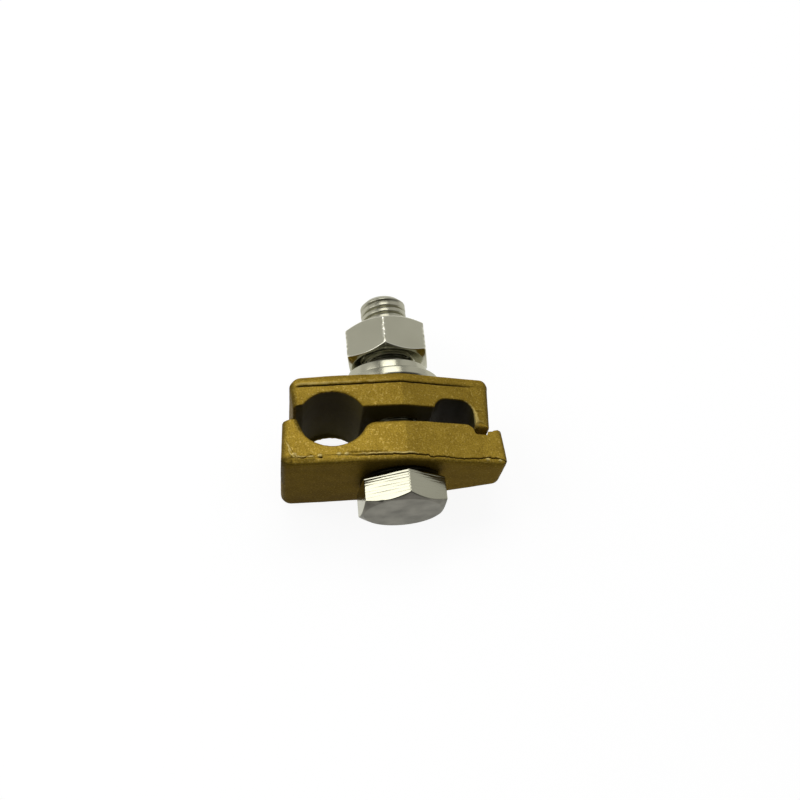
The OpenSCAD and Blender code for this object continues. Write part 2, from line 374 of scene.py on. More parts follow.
def path_distance(x, y, path):
    """Distance from a path of straight stretches, positive on its left side, and the direction to that side."""
    best = np.full(len(x), 1e9)
    left = np.zeros((len(x), 2))
    for (x0, y0), (x1, y1) in zip(path, path[1:]):
        dx = x1 - x0
        dy = y1 - y0
        t = np.clip(((x - x0) * dx + (y - y0) * dy) / (dx * dx + dy * dy), 0, 1)
        away = np.hypot(x - x0 - t * dx, y - y0 - t * dy)
        side = np.where(dx * (y - y0) - dy * (x - x0) > 0, 1, -1)
        nearer = away < np.abs(best)
        best[nearer] = (side * away)[nearer]
        left[nearer] = np.array((-dy, dx)) / math.hypot(dx, dy)
    return best, left


def about_bolt(theta, radius, y):
    """Points round the bolt axis. The angle runs from straight up towards +X."""
    radius = np.broadcast_to(radius, theta.shape)
    y = np.broadcast_to(y, theta.shape)
    return np.stack([AXIS_X + radius * np.sin(theta), y, AXIS_Z + radius * np.cos(theta)], axis=1)


def hex_angles(turn):
    t = np.arange(SIDE_COLUMNS) / SIDE_COLUMNS
    side = t - CORNER_CROWD * np.sin(2 * np.pi * t) / (2 * np.pi)
    return turn + np.concatenate([(k + side) * np.pi / 3 for k in range(6)])


def hex_radius(theta, turn, cone_r):
    """Radius of a hexagon with softened corners inside a chamfering cone of the given radius."""
    total = (1 / cone_r) ** HEX_POWER
    for k in range(6):
        facing = np.cos(theta - turn - (k + 0.5) * np.pi / 3)
        total = total + (np.maximum(facing, 0) * 2 / FLATS) ** HEX_POWER
    return total ** (-1 / HEX_POWER)


def thread_radius(theta, y, depth=THREAD_DEPTH, extra=0.0):
    """Right-hand thread with flat crests and rounded roots."""
    phase = (y / PITCH - theta / (2 * np.pi) - THREAD_PHASE) % 1
    wave = np.abs(2 * phase - 1)
    crown = CROWN * np.minimum(wave / CREST_HALF, 1) ** 2
    flank = (1 - CROWN) * step(wave, CREST_HALF, CREST_HALF + FLANK)
    return THREAD_R - depth * (crown + flank) + extra


def head_marks(e, theta):
    """Depth of the tool marks, which fade in and out along a flat and are fainter on its right neighbour."""
    depth = np.zeros_like(theta)
    for place, mark in HEAD_MARKS:
        fading = 0.65 + 0.35 * np.sin(7 * theta + 5 * place)
        depth += mark * fading * math.exp(-((e - place) / MARK_W) ** 2)
    return depth * np.where(np.sin(theta - HEAD_TURN) > 0, 0.5, 1.0)


def build_bolt():
    theta = hex_angles(HEAD_TURN)
    end_y = BOLT[0][1]
    seat_y = end_y + HEAD_H
    tip_y = BOLT[1][1]
    hex_h = HEAD_H - COLLAR_H
    rings = []
    dull = []
    painted_shade = []
    matte = []

    def ring(radius, y, dullness=0.0, shade_amount=0.0, matteness=0.0):
        rings.append(about_bolt(theta, radius, y))
        dull.extend(np.broadcast_to(dullness, theta.shape))
        painted_shade.extend(np.broadcast_to(shade_amount, theta.shape))
        matte.extend(np.broadcast_to(matteness, theta.shape))

    for share in (0.002, 0.3, 0.6, 0.85, 0.98):
        ring(CHAMFER_R * share, end_y, 1.0)
    chip_along = bell((theta + np.pi) % (2 * np.pi) - np.pi - CHIP_ANGLE, CHIP_W)
    for e in np.concatenate([np.linspace(0.015, CHAMFER_END, 26), np.linspace(1.36, hex_h - 0.1, 90)]):
        cone_r = CHAMFER_R + e / CHAMFER_SLOPE
        radius = hex_radius(theta, HEAD_TURN, cone_r)
        on_cone = np.clip((radius - 0.992 * cone_r) / (0.006 * cone_r), 0, 1)
        border = 4 * on_cone * (1 - on_cone) if e < CHAMFER_END else 0 * theta
        chip = chip_along * math.exp(-((e - CHIP_E) / CHIP_H) ** 2)
        radius = radius - head_marks(e, theta) - CHIP_DEPTH * chip
        # The chip and a thin line along the chamfer's border are darkened as painted shade
        ring(radius, end_y + e, on_cone, np.maximum(BORDER_SHADE * border, chip))
    ring(hex_radius(theta, HEAD_TURN, 50.0) - 0.1, end_y + hex_h)
    # The collar under the head is darkened as painted shade
    for radius, y in ((COLLAR_R, end_y + hex_h), (COLLAR_R, seat_y - 0.6), (COLLAR_R, seat_y - 0.12),
                      (COLLAR_R - 0.12, seat_y), (THREAD_R + 0.3, seat_y)):
        ring(radius, y, 1.0, COLLAR_SHADE)
    for y in np.arange(seat_y + 0.01, tip_y, PITCH / 13):
        thread = thread_radius(theta, y, THREAD_DEPTH * step(tip_y - y, *FADE_IN))
        ring(np.minimum(thread, THREAD_R - TIP_CHAMFER + (tip_y - y)), y, THREAD_STAIN, 0, 1)
    for share in (1.0, 0.96, 0.5, 0.01):
        ring((THREAD_R - TIP_CHAMFER) * share, tip_y, THREAD_STAIN, 0, 1)
    bolt = skin("threaded_bolt", rings)
    set_attribute(bolt, "dull", dull)
    set_attribute(bolt, "painted_shade", painted_shade)
    set_attribute(bolt, "matte", matte)
    return bolt


def corner_wear(e, theta):
    """Depth of the dents in the worn corners of the nut and the painted highlight along these corners, both
    from 0 to 1.
    """
    corner = np.round((theta - NUT_TURN) * 3 / np.pi)
    on_corner = bell(theta - NUT_TURN - corner * np.pi / 3, CORNER_W)
    dent = np.array([noise.noise(Vector((7.3 * k, e / DENT_LENGTH, 0.4))) for k in corner])
    return np.clip(dent + 0.15, 0, 1) * on_corner, np.clip(0.5 + 1.5 * dent, 0, 1) * on_corner


def build_nut():
    theta = hex_angles(NUT_TURN)
    low = NUT[0][1]
    high = NUT[1][1]
    height = high - low
    mouth = THREAD_R + 0.12 + COUNTERSINK * COUNTERSINK_SLOPE
    levels = np.concatenate([np.linspace(0.015, CHAMFER_END, 24), np.linspace(1.36, height - 1.36, 70),
                             np.linspace(height - CHAMFER_END, height - 0.015, 24)])
    rings = []
    painted_shade = []
    painted_highlight = []
    # Painted shade on the lower chamfer, strongest at the front and the back
    under_shade = NUT_UNDER_SHADE * np.cos(theta) ** 2
    for e in levels:
        cone_r = CHAMFER_R + min(e, height - e) / CHAMFER_SLOPE
        radius = hex_radius(theta, NUT_TURN, cone_r)
        on_cone = step(radius / cone_r, 0.994, 0.998)
        # Painted highlight along the chamfer's border
        border = step(radius / cone_r, 0.962, 0.985) * (1 - on_cone)
        # Worn corners, brightened as a painted highlight
        dents, worn = corner_wear(e, theta)
        painted_shade.extend(under_shade * on_cone if e < CHAMFER_END else 0 * theta)
        painted_highlight.extend(np.maximum(BORDER_HIGHLIGHT * border, worn))
        rings.append(about_bolt(theta, radius - DENT_DEPTH * dents, low + e))
    for radius, y in ((CHAMFER_R - 0.08, high), (mouth + 0.15, high), (mouth, high - 0.04)):
        rings.append(about_bolt(theta, radius, y))
    for y in np.arange(high - 0.1, low + 0.1, -PITCH / 12):
        cone = mouth - (min(high - y, y - low) - 0.04) * COUNTERSINK_SLOPE
        rings.append(about_bolt(theta, np.maximum(thread_radius(theta, y, extra=NUT_PLAY), cone), y))
    for radius, y in ((mouth, low + 0.04), (mouth + 0.15, low), (CHAMFER_R - 0.08, low)):
        rings.append(about_bolt(theta, radius, y))
    nut = skin("hex_nut", rings, loop=True)
    rest = np.zeros(len(nut.data.vertices) - len(painted_shade))
    set_attribute(nut, "painted_highlight", np.concatenate([painted_highlight, rest]))
    # The bearing face under the nut gets the same painted shade
    rest[-3 * len(theta):] = np.tile(under_shade, 3)
    set_attribute(nut, "painted_shade", np.concatenate([painted_shade, rest]))
    return nut


def rounded_section(inner, outer, height, edge, steps=5):
    """Section of a washer, as radius and height, with every edge rounded."""
    points = []
    corners = ((outer - edge, height - edge, 0), (inner + edge, height - edge, 90),
               (inner + edge, edge, 180), (outer - edge, edge, 270))
    for r, h, start in corners:
        for i in range(steps + 1):
            angle = math.radians(start + 90 * i / steps)
            points.append((r + edge * math.cos(angle), h + edge * math.sin(angle)))
    return points


def build_flat_washer():
    """The flat washer, with a painted shadow line along the foot of its rim at the front."""
    theta = np.arange(240) * 2 * np.pi / 240
    low = FLAT[0][1]
    outer = (FLAT[1][0] - FLAT[0][0]) / 2
    section = rounded_section(HOLE_R, outer, FLAT[1][1] - low, FLAT_EDGE_R) + [(outer, h) for h in RIM_LEVELS]
    washer = skin("plain_washer", [about_bolt(theta, r, low + h) for r, h in section], loop=True)
    # Painted shadow along the foot of the rim at the front
    rightward = np.sin(theta)
    shaded_front = step(rightward, -0.3, -0.1) * step(-rightward, -0.6, -0.4) * (np.cos(theta) > 0)
    painted_shade = [FOOT_SHADE * shaded_front if h < FOOT_SHADE_TOP else 0 * theta for r, h in section]
    set_attribute(washer, "painted_shade", np.concatenate(painted_shade))
    return washer


def build_spring_washer():
    """The split washer, which climbs by its rise from one side of the split to the other."""
    centre_x = (SPRING[0][0] + SPRING[1][0]) / 2
    centre_z = (SPRING[0][2] + SPRING[1][2]) / 2
    low = SPRING[0][1]
    half_split = math.asin(SPRING_SPLIT / 2 / SPRING_R)
    section = rounded_section(SPRING_BORE_R, SPRING_R, SPRING_T, SPRING_EDGE_R)
    rings = []
    for a in np.linspace(half_split, 2 * np.pi - half_split, 260):
        climb = low + SPRING_RISE * (a / (2 * np.pi) + math.sin(a) / (2 * np.pi) + (math.cos(a) - 1) / 4)
        rings.append([(centre_x + r * math.sin(a), climb + h, centre_z - r * math.cos(a)) for r, h in section])
    return skin("split_washer", rings)


def relax(mesh, rounds, shares):
    """Moves each vertex by a share of its way to the mean of its neighbours, with the shares taken in turn."""
    edges = np.empty(len(mesh.edges) * 2, int)
    mesh.edges.foreach_get("vertices", edges)
    a, b = edges.reshape(-1, 2).T
    count = np.bincount(np.concatenate([a, b]), minlength=len(mesh.vertices))[:, None]
    points = read_points(mesh)
    size = len(points)
    for turn in range(rounds):
        total = np.zeros_like(points)
        for axis in range(3):
            total[:, axis] = np.bincount(a, points[b, axis], size) + np.bincount(b, points[a, axis], size)
        points += shares[turn % len(shares)] * (total / count - points)
    mesh.vertices.foreach_set("co", points.ravel())
    mesh.update()


def forging(name, node):
    """A remeshed copy of a jaw with softened edges."""
    source = link(bpy.data.objects.new(name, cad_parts[node].data.copy()))
    remesh = source.modifiers.new("remesh", "REMESH")
    remesh.mode = "VOXEL"
    remesh.voxel_size = VOXEL * MM
    bpy.context.view_layer.update()
    evaluated = source.evaluated_get(bpy.context.evaluated_depsgraph_get())
    mesh = bpy.data.meshes.new_from_object(evaluated)
    source.modifiers.clear()
    source.data = mesh
    mesh.name = name
    mesh.materials.clear()
    relax(mesh, SMOOTH_ROUNDS, SMOOTH_SHARES)
    relax(mesh, 1, (0.5,))
    return source


def refine(mesh, near):
    """Halves the faces whose vertices all lie near a seam."""
    bm = bmesh.new()
    bm.from_mesh(mesh)
    bm.verts.ensure_lookup_table()
    edges = [e for e in bm.edges if near[e.verts[0].index] and near[e.verts[1].index]]
    bmesh.ops.subdivide_edges(bm, edges=edges, cuts=1, use_grid_fill=True)
    bm.to_mesh(mesh)
    bm.free()


def side_share(normals):
    """1 on the sides of a jaw and 0 on its inner and outer faces."""
    return np.clip(1.6 - 1.6 * np.abs(normals[:, 1]), 0, 1)


def is_front(points):
    """Whether points lie on the front half of a jaw."""
    return points[:, 2] > AXIS_Z


def end_gap(points):
    """Distance inside the nearer of the front and back faces, which close in along the tapered half."""
    x = points[:, 0] - AXIS_X
    half = (FRONT_Z - BACK_Z) / 2 - np.maximum(x - TAPER_START, 0) * TAPER
    return half - np.abs(points[:, 2] - AXIS_Z)


def above_floor(points):
    """The points, kept from sinking under the surface that the clamp lies on."""
    return np.maximum(points, (-np.inf, -np.inf, BACK_Z))


def edge_terms(points, across, radius):
    """Place at an edge of the front or back face, from 0 to -1 at the face, and the directions inwards."""
    u = np.minimum((across - radius) / radius, 0)
    v = np.minimum((end_gap(points) - radius) / radius, 0)
    facing = np.sign(points[:, 2] - AXIS_Z)
    slope = np.where(points[:, 0] - AXIS_X > TAPER_START, TAPER, 0)
    inward = np.stack([-slope, np.zeros_like(slope), -facing], axis=1) / np.hypot(slope, 1)[:, None]
    return u, v, inward


def round_edge(points, across, across_dir, radius):
    """Rounds the edge between the front or back face and a wall, where across is the distance from the wall."""
    u, v, inward = edge_terms(points, across, radius)
    reach = np.hypot(u, v)
    at_edge = (u < 0) & (v < 0) & (reach > 1) & (across > -0.4)
    pull = np.where(at_edge, radius * (1 / np.maximum(reach, 1) - 1), 0)
    return points + (pull * u)[:, None] * across_dir + (pull * v)[:, None] * inward


def square_edge(points, across, across_dir):
    """Makes an outer edge of the front or back face squarer."""
    u, v, inward = edge_terms(points, across, OUTER_EDGE_R)
    square = (np.abs(u) ** EDGE_POWER + np.abs(v) ** EDGE_POWER) ** (1 / EDGE_POWER)
    push = OUTER_EDGE_R * (np.hypot(u, v) / np.maximum(square, 1e-6) - 1) * (square > 1e-6)
    return points + (push * u)[:, None] * across_dir + (push * v)[:, None] * inward


def in_space(directions):
    """Directions in the plane of x and y, as directions in space."""
    return np.pad(directions, ((0, 0), (0, 1)))


def swell(points, seed):
    """Unevenness of a forged face."""
    return 0.05 * rough(points, 7, seed) + 0.022 * rough(points, 2.2, seed + 1)


def shade_jaw(jaw, points, normals, inside_y, crack, rub_and_highlight, brightness, rounding, painted_light_and_shade):
    """Stores where a jaw is cracked, with painted shade in the cracks, where it is rubbed or carries painted
    highlights, its painted light and shade, and how much it shines.

    inside_y holds the heights between which the jaw's faces lie inside the clamp.
    """
    inside = (points[:, 1] > inside_y[0]) & (points[:, 1] < inside_y[1])
    on_left = points[:, 0] < AXIS_X
    inside &= np.where(on_left, points[:, 0] > LOWER[0][0] + 3.6, points[:, 0] < UPPER[1][0] - 1.6)
    facing = np.abs(normals[:, 2])
    # Deep parts darkened through recess: partly oxide, partly painted shade
    recess = step(end_gap(points) - 0.8 * rounding, 0.1, 0.7) * inside * step(-facing, -0.75, -0.4)
    # Painted light and shade: each jaw's level, painted shade on faces turned from the front and in the narrow
    # parts, and the given painted light and shade
    turned = step(-facing, -0.9, -0.5)
    ends = step(np.abs(normals[:, 0]), 0.33, 0.7) * (1 - recess)
    narrow = recess * along(points[:, 0] - AXIS_X, NARROW_PAINTED_SHADE)
    painted_shading = brightness * (1 - TURNED_PAINTED_SHADE * turned * (1 - recess) * (1 - ENDS_SPARED * ends)) * (1 - narrow)
    shine = (SHINE - TURNED_LOSS * turned) * (1 - DEEP_LOSS * recess) * (1 - ENDS_LOSS * ends)
    # Painted shade in the cracks, then rubbed metal with painted highlights
    set_attribute(jaw, "crack_shade", crack)
    set_attribute(jaw, "rub_and_highlight", rub_and_highlight)
    set_attribute(jaw, "recess", recess)
    set_attribute(jaw, "painted_shading", painted_shading * (1 + painted_light_and_shade))
    set_attribute(jaw, "shine", shine)


def lower_rim():
    """Outline of the lower jaw's main groove and inner face, as x and height above the outer face."""
    centre_y = MAIN_FLOOR + MAIN_R
    edge_y = LOWER_T - MAIN_EDGE_R
    reach = MAIN_R + MAIN_EDGE_R
    fall = math.asin((centre_y - edge_y) / reach)
    edge_x = reach * math.cos(fall) - MAIN_X
    start = math.pi + math.asin((centre_y - LOWER_T - LEFT_LIP_H) / MAIN_R)
    groove = [(MAIN_R * math.cos(a) - MAIN_X, centre_y + MAIN_R * math.sin(a))
              for a in np.linspace(start, 2 * math.pi - fall, 24)]
    edge = [(edge_x + MAIN_EDGE_R * math.cos(a), edge_y + MAIN_EDGE_R * math.sin(a))
            for a in np.linspace(math.pi - fall, math.pi / 2, 8)]
    return groove + edge + [(TAP_RIGHT - 2, LOWER_T)]


def notch_fill(points, x, height):
    """Rise of the notch's floor beyond the right end of the upper jaw's lip."""
    across = np.maximum(x - LIP_RIGHT + CORNER_R, 0)
    beyond = np.hypot(across, np.maximum(CORNER_R - end_gap(points), 0)) - CORNER_R
    fill = along(x, NOTCH_FILL) * step(beyond, *FILL_CLEAR) * step(x, 17.6, 18) * step(-x, -21.6, -21)
    places = np.arange(17.5, 22, 0.1)
    tops = [height[np.abs(x - place) < 0.1].max() for place in places]
    top = np.interp(x, places, tops)
    return np.maximum(NOTCH_FLOOR + fill - top, 0) * (fill > 0) * step(height, FILL_FROM, top - 0.05)


def lower_terms(mesh):
    """Points of the lower jaw, their x and height above the outer face, and how far its seam and flash are."""
    points = read_points(mesh) / MM
    x = points[:, 0] - AXIS_X
    height = points[:, 1] - LOWER_OUT
    fold, _ = path_distance(x, height, FLASH_EDGE)
    return points, x, height, height - along(x, LOWER_SEAM), fold


def wear_lower_jaw(mesh):
    """Wears the rim, squares the outer edges, swells the left lip and fills the notch.

    Returns the rounding of the rim, and where the bevel of the left lip lies, from 0 to 1.
    """
    points, x, height, _, _ = lower_terms(mesh)
    away, left = path_distance(x, height, lower_rim())
    worn = along(x, LOWER_WEAR)
    u, v, _ = edge_terms(points, -away, worn)
    bevel = step(-u, 0.02, 0.4) * step(-v, 0.02, 0.4) * (x < -18) * step(height, 6, 7.5)
    points = round_edge(points, -away, -in_space(left), worn)
    points = square_edge(points, height, UP)
    bulge = along(height, LIP_BULGE) * (x < -17) * step(away, -2, 0)
    points[:, :2] += bulge[:, None] * left
    points[:, 1] += notch_fill(points, x, height)
    write_points(mesh, points)
    return worn, bevel


def flash(points, x, height, fold, front):
    """Fold of the flash, its rim, the drops of metal and the gaps under them, each from 0 to about 1."""
    ragged = 0.1 * rough(points, 1.1, 10) + 0.05 * rough(points, 0.4, 11)
    fold = fold + ragged
    folded = step(-fold, -0.12, 0.12) * step(fold, -1.2, -0.4) * (x < FLASH_END) * front
    outer_rim, _ = path_distance(x, height, FLASH_RIM)
    gap = np.minimum(*(np.abs(path_distance(x, height, path)[0]) for path in (FLASH_GAP, DROP_GAP)))
    rim = bell(fold + 0.1, 0.19) * np.clip(0.75 + 0.9 * rough(points, 0.9, 13), 0.2, 1)
    rim = np.maximum(rim, 0.6 * bell(outer_rim + ragged, 0.14)) * (x < FLASH_END) * front
    drops = sum(bell(np.hypot(x - dx, (height - dy) * 1.4), 0.45) for dx, dy in FLASH_DROPS) * front
    under = bell(gap + ragged, 0.11) * front * np.clip(0.75 + 0.8 * rough(points, 0.8, 14), 0, 1)
    return folded, rim * (1 - under), drops, under


def build_lower_jaw():
    jaw = forging("lower_forging", "lower_jaw")
    mesh = jaw.data
    points, x, height, off, fold = lower_terms(mesh)
    refine(mesh, (height > 0.2) & (off < 0.75) | ((np.abs(fold) < 0.7) & is_front(points)))
    worn, bevel = wear_lower_jaw(mesh)

    points, x, height, off, fold = lower_terms(mesh)
    normals = read_points(mesh, "normal")
    side = side_share(normals)
    front = is_front(points) * side
    lengthwise = points * RAGGED_SCALE
    off = off - 0.13 * rough(lengthwise, 0.9, 1) - 0.07 * rough(lengthwise, 0.35, 2)
    crack = bell(off, 0.13) * side * along(x, LOWER_CRACK)
    lumps = np.clip(0.45 + 1.3 * rough(points, 1.6, 3), 0, 1)
    ridge = bell(off - 0.3, 0.18) * side * along(x, LOWER_RIDGE) * np.where(x < -8, lumps, 1)
    line = 0.5 * bell(off - 0.66, 0.1) * side * along(x, OVER_RIDGE)
    folded, rim, drops, under = flash(points, x, height, fold, front)
    # The cracks, the gaps under the flash and the line above the ridge are cut in and carry painted shade
    cracks = np.maximum.reduce([crack, under, line])
    push = swell(points, 4) + RIDGE_H * ridge + FLASH_H * folded + RIM_H * rim + DROP_H * drops
    push -= LOWER_CRACK_DEPTH * cracks
    write_points(mesh, above_floor(points + normals * push[:, None]))

    # Painted light and shade: outer face lighter on the right and darker on its left towards the back, front
    # lighter at its right end and left of the bolt, the left lip's bevel and the front left corner darker
    outer = step(-normals[:, 1], 0.5, 0.8)
    to_front = step(normals[:, 2], 0.6, 0.8)
    painted_light_and_shade = outer * (0.2 * step(x, 4, 9) - 0.28 * step(AXIS_Z - points[:, 2], 0, 11) * step(-x, 2, 8))
    painted_light_and_shade += 0.1 * to_front * (step(x, 15, 19) + step(-x, -2, 3)) - 0.6 * bevel
    painted_light_and_shade -= 0.65 * step(-x, 21.9, 22.6) * step(-height, -2.3, -1.5) * front
    # The ridge is rubbed metal with painted highlight; the flash's rim and the drops carry painted highlight
    rub_and_highlight = np.maximum.reduce([ridge, rim, drops])
    shade_jaw(jaw, points, normals, (LOWER_OUT + 2.6, UPPER_OUT), cracks, rub_and_highlight, LOWER_PAINTED_LIGHT, worn, painted_light_and_shade)
    return jaw


def lip_edge():
    """Outline of the small groove's right wall and the lip, as x and y."""
    inner = LIP_TIP + LIP_DROP
    centre_x = TAP_RIGHT - TAP_CORNER_R
    centre_y = inner + TAP_DEPTH - TAP_CORNER_R
    angles = np.radians(np.linspace(65, 0, 10))
    arc = [(centre_x + TAP_CORNER_R * math.cos(a), centre_y + TAP_CORNER_R * math.sin(a)) for a in angles]
    return arc + [(TAP_RIGHT, LIP_TIP - 1)]


def upper_terms(mesh):
    """Points of the upper jaw, their x, depth below the outer face, and distance from its seam."""
    points = read_points(mesh) / MM
    x = points[:, 0] - AXIS_X
    depth = UPPER_OUT - points[:, 1]
    return points, x, depth, depth - along(x, UPPER_SEAM)


def wear_upper_jaw(mesh):
    """Wears the inner edges and the lip, squares the outer edges and lowers the left end.

    Returns where the tip of the lip turns and where the fillet beside the small groove lies, from 0 to 1.
    """
    points, x, depth, _ = upper_terms(mesh)
    inner = LIP_TIP + LIP_DROP
    points = round_edge(points, points[:, 1] - inner, UP, along(x, INNER_WEAR))
    tip = along(x, TIP_WEAR)
    u, v, _ = edge_terms(points, points[:, 1] - LIP_TIP, tip)
    turn = 0.8 * bell(u + 0.2, 0.2) * step(-v, 0.2, 0.6) * (x > TAP_RIGHT) * is_front(points)
    points = round_edge(points, points[:, 1] - LIP_TIP, UP, tip)
    away, left = path_distance(x, points[:, 1], lip_edge())
    worn = along(inner + TAP_DEPTH - points[:, 1], LIP_WEAR)
    u, v, _ = edge_terms(points, away, worn)
    fillet = step(-u, 0.02, 0.3) * step(-v, 0.02, 0.3) * (away > -0.4) * is_front(points)
    points = round_edge(points, away, in_space(left), worn)
    points = square_edge(points, depth, -UP)
    points[:, 1] -= LEFT_DROOP * step(-x, 12, 22) * step(-depth, -2.2, -0.8)
    write_points(mesh, points)
    return turn, fillet


def build_upper_jaw():
    jaw = forging("upper_forging", "upper_jaw")
    mesh = jaw.data
    points, x, depth, off = upper_terms(mesh)
    refine(mesh, (depth > 0.2) & (off < 0.6))
    turn, fillet = wear_upper_jaw(mesh)

    points, x, depth, off = upper_terms(mesh)
    normals = read_points(mesh, "normal")
    side = side_share(normals)
    lengthwise = points * RAGGED_SCALE
    off = off - 0.05 * rough(lengthwise, 1.4, 6) - 0.03 * rough(lengthwise, 0.4, 7)
    crack = bell(off, 0.16) * side * along(x, UPPER_CRACK)
    band = bell(depth - 1.55, 0.55) * side
    push = swell(points, 8) + BAND_H * band - UPPER_CRACK_DEPTH * crack
    roof = np.abs(np.hypot(x + MAIN_X, depth - MAIN_ROOF - MAIN_R) - MAIN_R)
    burr = bell(roof, 0.3) * bell(end_gap(points), 0.35) * bell(x + MAIN_X, 2.2) * is_front(points)
    hang = bell(roof, 0.4) * step(-end_gap(points), -1.8, 0) * ~is_front(points) * along(x, ROOF_HANG)
    moved = points + normals * push[:, None]
    moved[:, 1] -= BURR_H * burr * np.clip(0.4 + 1.4 * rough(points, 0.7, 12), 0, 1) + HANG_H * hang
    write_points(mesh, above_floor(moved))

    # Painted highlight on the band above the crack, on the fillet beside the small groove and where the lip's
    # tip turns
    light = 0.44 * bell(off + 0.5, 0.4) * side * np.clip(0.8 + 0.7 * rough(lengthwise, 1.5, 15), 0, 1)
    rub_and_highlight = np.maximum.reduce([light * along(x, BAND_HIGHLIGHT), 0.42 * fillet, 0.42 * turn])
    # Painted light and shade: the lip's underside lit, the outer face spared its painted shade, the front's
    # left half lighter, the main groove's roof lighter towards the back
    tipward = step(LIP_TIP - points[:, 1], -2.5, -1.5)
    painted_light_and_shade = 4.5 * step(-normals[:, 1], 0.35, 0.85) * (x > TAP_RIGHT - 0.3) * tipward
    painted_light_and_shade += step(normals[:, 1], 0.5, 0.8) * (depth < 1)
    painted_light_and_shade += 0.12 * step(normals[:, 2], 0.6, 0.8) * step(-x, 4, 10)
    painted_light_and_shade += along(points[:, 2] - AXIS_Z, ROOF_PAINTED_LIGHT) * (x < -6) * (depth > MAIN_ROOF)
    roof_y = max(LIP_TIP + LIP_DROP + TAP_DEPTH + 0.6, UPPER_OUT - MAIN_ROOF + 0.4)
    shade_jaw(jaw, points, normals, (LIP_TIP + 0.5, roof_y), crack, rub_and_highlight, UPPER_PAINTED_LIGHT, 0, painted_light_and_shade)
    return jaw


class Shader:
    """Short ways to add nodes to one material."""

    def __init__(self, name):
        self.material = bpy.data.materials.new(name)
        self.material.use_nodes = True
        self.tree = self.material.node_tree
        self.surface = self.tree.nodes["Principled BSDF"]
        self.place = self.add("ShaderNodeTexCoord").outputs["Object"]

    def add(self, kind, **settings):
        node = self.tree.nodes.new(kind)
        for key, value in settings.items():
            setattr(node, key, value)
        return node

    def feed(self, socket, value):
        if isinstance(value, bpy.types.NodeSocket):
            self.tree.links.new(value, socket)
        else:
            socket.default_value = value

    def stretched(self, scale):
        node = self.add("ShaderNodeMapping")
        self.feed(node.inputs["Vector"], self.place)
        node.inputs["Scale"].default_value = scale
        return node.outputs["Vector"]

    def noise(self, scale, detail=2.0, place=None):
        node = self.add("ShaderNodeTexNoise")
        self.feed(node.inputs["Vector"], place or self.place)
        node.inputs["Scale"].default_value = scale
        node.inputs["Detail"].default_value = detail
        return node.outputs["Fac"]

    def ramp(self, value, low, high, start=0.0, end=1.0):
        node = self.add("ShaderNodeMapRange", clamp=True)
        for socket, number in zip(node.inputs[1:5], (low, high, start, end)):
            socket.default_value = number
        self.feed(node.inputs["Value"], value)
        return node.outputs["Result"]

    def math(self, operation, a, b):
        node = self.add("ShaderNodeMath", operation=operation)
        self.feed(node.inputs[0], a)
        self.feed(node.inputs[1], b)
        return node.outputs["Value"]

    def mix(self, share, a, b, blend="MIX"):
        node = self.add("ShaderNodeMix", data_type="RGBA", blend_type=blend)
        self.feed(node.inputs["Factor"], share)
        for socket, colour in ((node.inputs[6], a), (node.inputs[7], b)):
            self.feed(socket, colour if isinstance(colour, bpy.types.NodeSocket) else (*colour, 1))
        return node.outputs[2]

    def attribute(self, name):
        return self.add("ShaderNodeAttribute", attribute_name=name).outputs["Fac"]

    def bump(self, height, distance, strength=1.0, normal=None):
        node = self.add("ShaderNodeBump")
        node.inputs["Distance"].default_value = distance
        node.inputs["Strength"].default_value = strength
        self.feed(node.inputs["Height"], height)
        if normal:
            self.feed(node.inputs["Normal"], normal)
        return node.outputs["Normal"]


def forged_brass():
    """Brass as forged and blasted: patches and pits, painted glints, rubbed ridges with painted highlights,
    painted shade in its cracks, deep parts darkened partly as oxide and partly as painted shade, and painted
    light and shade over its faces.
    """
    s = Shader("forged_brass")
    patches = s.noise(320, 3)
    grain = s.noise(3600, 4)
    specks = s.noise(2300, 2)
    rub_and_highlight = s.attribute("rub_and_highlight")
    recess = s.attribute("recess")
    colour = s.mix(s.ramp(patches, 0.38, 0.64), BRASS_DARK, BRASS_LIGHT)
    colour = s.mix(s.ramp(grain, 0.36, 0.56, 0.6, 0.0), colour, BRASS_PIT)
    # Painted glints: bright specks in the colour, fewer in the deep parts
    bright = s.math("MULTIPLY", s.ramp(specks, 0.56, 0.72), s.ramp(recess, 0, 1, 1, 0.15))
    colour = s.mix(s.math("MULTIPLY", bright, 0.42), colour, BRASS_GLINT)
    # Deep parts darkened: partly oxide, partly painted shade
    colour = s.mix(s.ramp(recess, 0, 1, 0, 0.85), colour, BRASS_DEEP)
    # Painted light and shade of each jaw
    colour = s.mix(1.0, colour, s.attribute("painted_shading"), "MULTIPLY")
    # Rubbed metal with painted highlights
    colour = s.mix(s.ramp(rub_and_highlight, 0.2, 0.8, 0, 0.92), colour, BRASS_RUB_HIGHLIGHT)
    # Painted shade in the cracks
    colour = s.mix(s.ramp(s.attribute("crack_shade"), 0.3, 0.75), colour, BRASS_CRACK_SHADE)
    s.feed(s.surface.inputs["Base Color"], colour)
    s.feed(s.surface.inputs["Metallic"], s.attribute("shine"))
    s.surface.inputs["Specular IOR Level"].default_value = BRASS_SPECULAR
    s.surface.inputs["Specular Tint"].default_value = BRASS_SHEEN
    s.feed(s.surface.inputs["Roughness"], s.ramp(s.math("ADD", bright, rub_and_highlight), 0, 1.2, 0.44, 0.34))
    normal = s.bump(grain, 0.08 * MM, 0.8)
    s.feed(s.surface.inputs["Normal"], s.bump(patches, 0.1 * MM, 0.4, normal))
    return s.material


